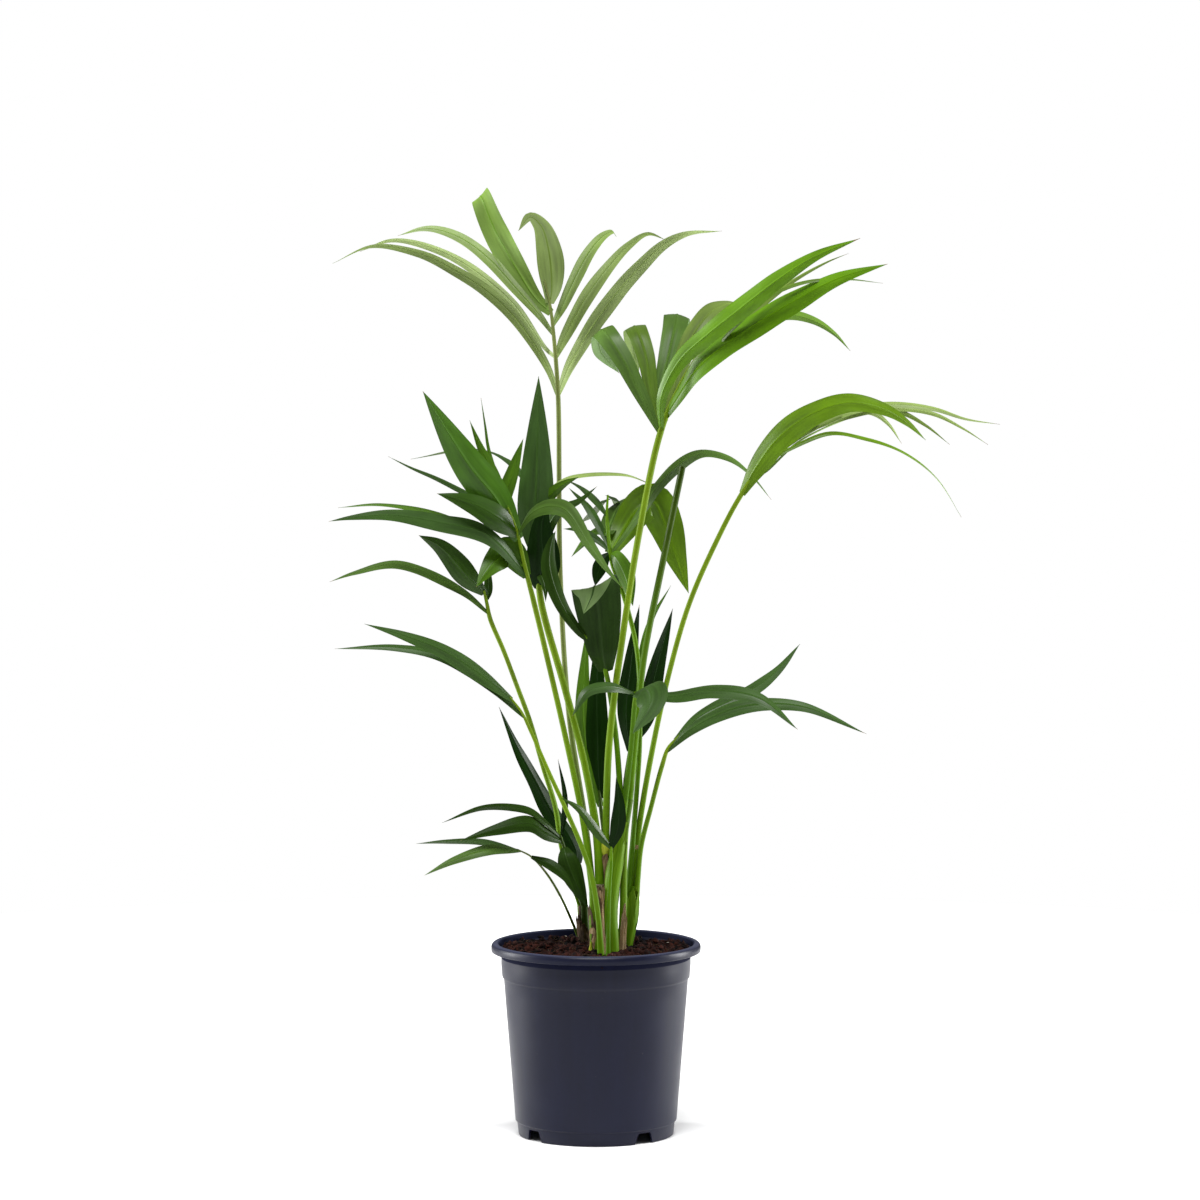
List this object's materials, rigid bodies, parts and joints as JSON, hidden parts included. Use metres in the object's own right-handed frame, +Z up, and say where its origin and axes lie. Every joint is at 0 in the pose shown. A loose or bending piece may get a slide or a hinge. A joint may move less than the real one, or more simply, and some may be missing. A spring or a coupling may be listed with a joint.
{
  "type": "potted kentia palm",
  "caption": "Young kentia palm in a round dark nursery pot: a clump of slender petioles with arching feather-shaped fronds.",
  "frame": {"origin": "centre of the pot's flat underside, where the plant stands", "axes": "+Z straight up from the underside, -Y towards the front of the plant, +X to the right seen from the front"},
  "size_m": [0.6531, 0.3853, 0.9442],
  "materials": {
    "pot": "satin",
    "soil": "matte",
    "culm": "satin",
    "dry_culm": "matte",
    "bright_stalk": "satin",
    "dull_stalk": "satin",
    "dark_stalk": "satin",
    "pale_leaf": "satin",
    "bright_leaf": "satin",
    "leaf": "satin",
    "dark_leaf": "satin"
  },
  "bodies": {
    "root": {"pot": "pot", "soil": "soil", "culm_left": "dry_culm", "culm_middle": "dry_culm", "culm_front": "culm", "culm_right": "culm", "petiole_top_left": "dull_stalk", "frond_top_left": "pale_leaf", "petiole_top_right": "bright_stalk", "frond_top_right": "leaf", "petiole_right_high": "bright_stalk", "frond_right_high": "bright_leaf", "petiole_back_centre": "bright_stalk", "frond_back_centre": "leaf", "petiole_left_front": "bright_stalk", "frond_left_front": "leaf", "petiole_left_tall": "bright_stalk", "frond_left_tall": "leaf", "petiole_centre_fold": "bright_stalk", "frond_centre_fold": "dark_leaf", "petiole_left_mid": "bright_stalk", "frond_left_mid": "leaf", "petiole_left_low": "bright_stalk", "frond_left_low": "leaf", "petiole_left_dark": "dark_stalk", "frond_left_dark": "dark_leaf", "petiole_left_small": "bright_stalk", "frond_left_small": "dark_leaf", "petiole_seedling": "bright_stalk", "frond_seedling": "dark_leaf", "petiole_right_low": "bright_stalk", "frond_right_low": "leaf", "petiole_front_centre": "bright_stalk", "frond_front_centre": "leaf", "petiole_dark_upright": "dark_stalk", "frond_dark_upright": "dark_leaf", "petiole_dark_pair": "dark_stalk", "frond_dark_pair": "dark_leaf", "petiole_cut": "dark_stalk"}
  },
  "joints": []
}
